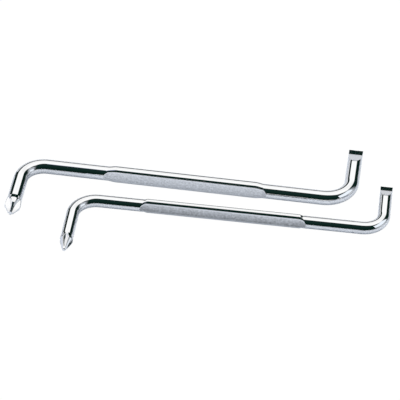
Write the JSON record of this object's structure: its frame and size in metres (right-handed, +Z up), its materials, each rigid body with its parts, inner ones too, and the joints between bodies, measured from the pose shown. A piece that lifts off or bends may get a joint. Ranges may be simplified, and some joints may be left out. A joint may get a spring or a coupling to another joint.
{
  "type": "offset screwdriver",
  "caption": "Offset screwdrivers in a larger and a smaller size: Z-bent chromed bars, each with a pressed flat grip, a cross tip on one leg and a flat blade on the other.",
  "frame": {"origin": "middle of the pair's footprint, on the surface the tools lie on", "axes": "+X along the large tool's straight bar, from its cross-tip leg to its blade leg; +Z up from the surface the tools lie on; the cross tips point to -Y and the blades to +Y"},
  "size_m": [0.156, 0.0828, 0.007],
  "materials": {
    "large_chrome": "polished nickel-chrome plate on forged steel",
    "small_chrome": "polished nickel-chrome plate on forged steel"
  },
  "bodies": {
    "large": {"large_screwdriver": "large_chrome"},
    "small": {"small_screwdriver": "small_chrome"}
  },
  "joints": [
    {"name": "small_lift", "type": "slide", "parent": "large", "child": "small", "axis": [0, 0, 1], "range_m": [0, 0.05]}
  ]
}
